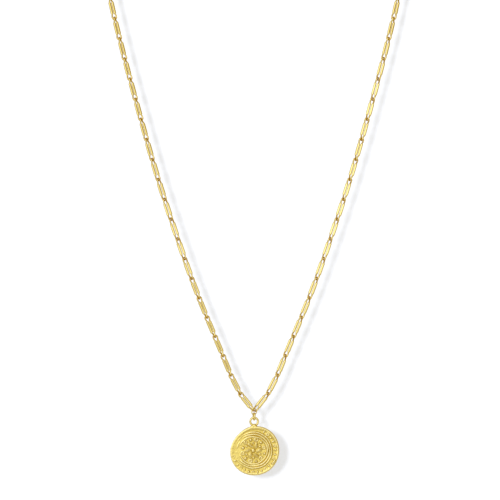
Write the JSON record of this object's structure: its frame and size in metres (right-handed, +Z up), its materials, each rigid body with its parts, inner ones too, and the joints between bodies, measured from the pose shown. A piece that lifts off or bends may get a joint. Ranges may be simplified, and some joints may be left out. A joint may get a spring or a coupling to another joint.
{
  "type": "coin necklace",
  "caption": "Gold necklace: two strands of long pinched chain links meet in a V, with a worn cast coin hanging from rings below them.",
  "frame": {"origin": "nape: the middle of the clasp, at the back of the neck", "axes": "+X to the right as seen from the front, +Y towards the back of the neck (the front with the coin faces -Y), +Z up"},
  "size_m": [0.1028, 0.0742, 0.1877],
  "materials": {
    "chain_gold": "polished, gold plated",
    "coin_gold": "cast and worn, gold plated"
  },
  "bodies": {
    "chain": {"chain_left": "chain_gold", "chain_right": "chain_gold", "centre_ring": "chain_gold", "end_ring": "chain_gold", "clasp_ring": "chain_gold", "clasp": "chain_gold"},
    "jump_ring": {"jump_ring": "chain_gold"},
    "pendant": {"coin_pendant": "coin_gold"}
  },
  "joints": [
    {"name": "jump_ring_swing", "type": "hinge", "parent": "chain", "child": "jump_ring", "pos_m": [0, -0.07, -0.16752], "axis": [0, 1, 0], "range_deg": [-35, 35]},
    {"name": "pendant_swing", "type": "hinge", "parent": "jump_ring", "child": "pendant", "pos_m": [0, -0.07, -0.1689], "axis": [1, 0, 0], "range_deg": [-70, 70]}
  ]
}
